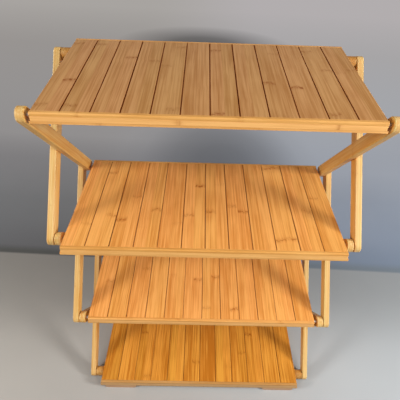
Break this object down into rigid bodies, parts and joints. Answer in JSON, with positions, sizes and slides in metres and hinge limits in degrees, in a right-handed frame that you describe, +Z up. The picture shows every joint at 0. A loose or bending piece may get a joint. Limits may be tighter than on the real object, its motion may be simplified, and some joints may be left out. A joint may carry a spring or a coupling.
{
  "type": "folding storage rack",
  "caption": "Free-standing bamboo rack with slatted shelves on crossed side legs; the shelves lift off their hook pins and the legs close flat.",
  "frame": {"origin": "on the floor, midway between the front and rear leg pivots and between the sides", "axes": "+X to the right across the shelves, +Y to the back, +Z up"},
  "size_m": [0.683, 0.363, 0.9382],
  "materials": {
    "plank_bamboo": "clear satin lacquer, side-pressed grain along the plank",
    "rail_bamboo": "clear satin lacquer, grain along the rail",
    "batten_bamboo": "clear satin lacquer",
    "leg_bamboo": "clear satin lacquer, grain along the leg",
    "foot_bamboo": "clear satin lacquer",
    "zinc_steel": "zinc plated",
    "insert_brass": "turned",
    "washer_nylon": "natural nylon"
  },
  "bodies": {
    "bottom_shelf": {"bottom_shelf_feet": "foot_bamboo", "bottom_shelf_grip_rail": "rail_bamboo", "bottom_shelf_hinge_bolts": "zinc_steel", "bottom_shelf_hinge_rail": "rail_bamboo", "bottom_shelf_inserts": "insert_brass", "bottom_shelf_left_batten": "batten_bamboo", "bottom_shelf_middle_batten": "batten_bamboo", "bottom_shelf_planks": "plank_bamboo", "bottom_shelf_right_batten": "batten_bamboo"},
    "lower_inner_legs": {"lower_centre_bolts": "zinc_steel", "lower_centre_washers": "washer_nylon", "lower_inner_left_leg": "leg_bamboo", "lower_inner_right_leg": "leg_bamboo"},
    "lower_outer_legs": {"lower_hook_pin_washers": "washer_nylon", "lower_hook_pins": "zinc_steel", "lower_outer_left_leg": "leg_bamboo", "lower_outer_right_leg": "leg_bamboo", "lower_spacers": "leg_bamboo"},
    "lower_shelf": {"lower_shelf_grip_rail": "rail_bamboo", "lower_shelf_hinge_bolts": "zinc_steel", "lower_shelf_hinge_rail": "rail_bamboo", "lower_shelf_inserts": "insert_brass", "lower_shelf_left_batten": "batten_bamboo", "lower_shelf_middle_batten": "batten_bamboo", "lower_shelf_planks": "plank_bamboo", "lower_shelf_right_batten": "batten_bamboo", "lower_shelf_washers": "washer_nylon"},
    "middle_inner_legs": {"middle_centre_bolts": "zinc_steel", "middle_centre_washers": "washer_nylon", "middle_inner_left_leg": "leg_bamboo", "middle_inner_right_leg": "leg_bamboo"},
    "middle_outer_legs": {"middle_outer_left_leg": "leg_bamboo", "middle_outer_right_leg": "leg_bamboo"},
    "upper_shelf": {"upper_shelf_grip_rail": "rail_bamboo", "upper_shelf_hinge_bolts": "zinc_steel", "upper_shelf_hinge_rail": "rail_bamboo", "upper_shelf_inserts": "insert_brass", "upper_shelf_left_batten": "batten_bamboo", "upper_shelf_middle_batten": "batten_bamboo", "upper_shelf_planks": "plank_bamboo", "upper_shelf_right_batten": "batten_bamboo", "upper_shelf_washers": "washer_nylon"},
    "upper_inner_legs": {"upper_centre_bolts": "zinc_steel", "upper_centre_washers": "washer_nylon", "upper_inner_left_leg": "leg_bamboo", "upper_inner_right_leg": "leg_bamboo"},
    "upper_outer_legs": {"upper_hook_pin_washers": "washer_nylon", "upper_hook_pins": "zinc_steel", "upper_outer_left_leg": "leg_bamboo", "upper_outer_right_leg": "leg_bamboo", "upper_spacers": "leg_bamboo"},
    "top_shelf": {"top_shelf_grip_rail": "rail_bamboo", "top_shelf_hinge_bolts": "zinc_steel", "top_shelf_hinge_rail": "rail_bamboo", "top_shelf_inserts": "insert_brass", "top_shelf_left_batten": "batten_bamboo", "top_shelf_middle_batten": "batten_bamboo", "top_shelf_planks": "plank_bamboo", "top_shelf_right_batten": "batten_bamboo"}
  },
  "joints": [
    {"name": "fold", "type": "hinge", "parent": "lower_outer_legs", "child": "lower_inner_legs", "pos_m": [0, 0, 0.168], "axis": [-1, 0, 0], "range_deg": [0, 75.55]},
    {"name": "bottom_shelf_hinge", "type": "hinge", "parent": "lower_inner_legs", "child": "bottom_shelf", "pos_m": [0, 0.1365, 0.018], "axis": [-1, 0, 0], "range_deg": [0, 46.02]},
    {"name": "lower_shelf_hinge", "type": "hinge", "parent": "lower_inner_legs", "child": "lower_shelf", "pos_m": [0, -0.1365, 0.318], "axis": [1, 0, 0], "range_deg": [0, 121.57]},
    {"name": "front_leg_link", "type": "hinge", "parent": "lower_inner_legs", "child": "middle_outer_legs", "pos_m": [0, -0.1365, 0.318], "axis": [1, 0, 0], "range_deg": [0, 75.56]},
    {"name": "middle_leg_cross", "type": "hinge", "parent": "middle_outer_legs", "child": "middle_inner_legs", "pos_m": [0, 0, 0.468], "axis": [-1, 0, 0], "range_deg": [0, 75.56]},
    {"name": "upper_shelf_hinge", "type": "hinge", "parent": "middle_outer_legs", "child": "upper_shelf", "pos_m": [0, 0.1365, 0.618], "axis": [-1, 0, 0], "range_deg": [0, 121.57]},
    {"name": "rear_leg_link", "type": "hinge", "parent": "middle_outer_legs", "child": "upper_inner_legs", "pos_m": [0, 0.1365, 0.618], "axis": [-1, 0, 0], "range_deg": [0, 75.56]},
    {"name": "upper_leg_cross", "type": "hinge", "parent": "upper_inner_legs", "child": "upper_outer_legs", "pos_m": [0, 0, 0.768], "axis": [1, 0, 0], "range_deg": [0, 75.56]},
    {"name": "top_shelf_hinge", "type": "hinge", "parent": "upper_inner_legs", "child": "top_shelf", "pos_m": [0, -0.1365, 0.918], "axis": [1, 0, 0], "range_deg": [0, 121.57]}
  ],
  "couplings": [
    {"joint": "bottom_shelf_hinge", "follows": "fold", "ratio": 0.60908},
    {"joint": "lower_shelf_hinge", "follows": "fold", "ratio": 1.6091},
    {"joint": "front_leg_link", "follows": "fold", "ratio": 1},
    {"joint": "middle_leg_cross", "follows": "fold", "ratio": 1},
    {"joint": "upper_shelf_hinge", "follows": "fold", "ratio": 1.6091},
    {"joint": "rear_leg_link", "follows": "fold", "ratio": 1},
    {"joint": "upper_leg_cross", "follows": "fold", "ratio": 1},
    {"joint": "top_shelf_hinge", "follows": "fold", "ratio": 1.6091}
  ]
}
